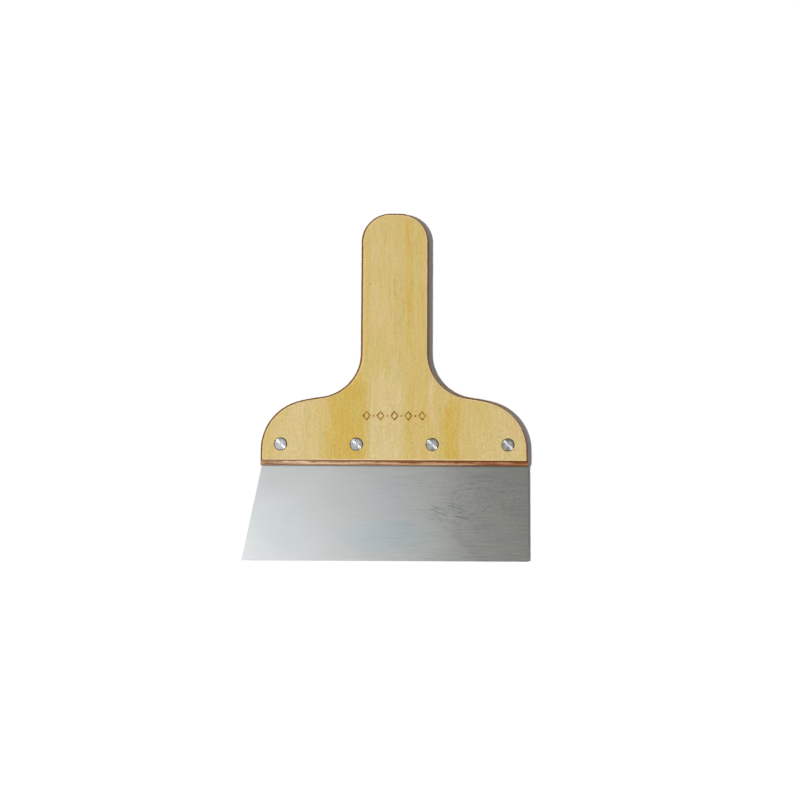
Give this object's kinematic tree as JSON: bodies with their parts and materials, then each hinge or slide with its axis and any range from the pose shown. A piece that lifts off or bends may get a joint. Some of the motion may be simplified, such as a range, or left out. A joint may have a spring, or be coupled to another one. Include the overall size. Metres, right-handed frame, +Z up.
{
  "type": "drywall taping knife",
  "caption": "Drywall taping knife: a thin steel blade let into the foot of a T-shaped plywood handle and held by a row of flush rivets.",
  "frame": {"origin": "middle of the knife's footprint, on the surface that its back face lies on; the handle's middle line is at x = 4.7 mm", "axes": "+Z up out of the front face, through the knife's thickness; +Y from the blade's working edge to the end of the grip; +X across the blade, towards its straight side"},
  "size_m": [0.1499, 0.185, 0.009],
  "materials": {
    "blade_steel": "fine brushed",
    "face_veneer": "sanded, clear sealed",
    "inner_ply": "sanded, clear sealed",
    "rivet_metal": "turned, satin"
  },
  "bodies": {
    "root": {"blade": "blade_steel", "rear_face_veneer": "face_veneer", "rear_crossband": "inner_ply", "core_ply": "inner_ply", "front_crossband": "inner_ply", "front_face_veneer": "face_veneer", "rivet_post_1": "rivet_metal", "rivet_barrel_1": "rivet_metal", "rivet_post_2": "rivet_metal", "rivet_barrel_2": "rivet_metal", "rivet_post_3": "rivet_metal", "rivet_barrel_3": "rivet_metal", "rivet_post_4": "rivet_metal", "rivet_barrel_4": "rivet_metal"}
  },
  "joints": []
}
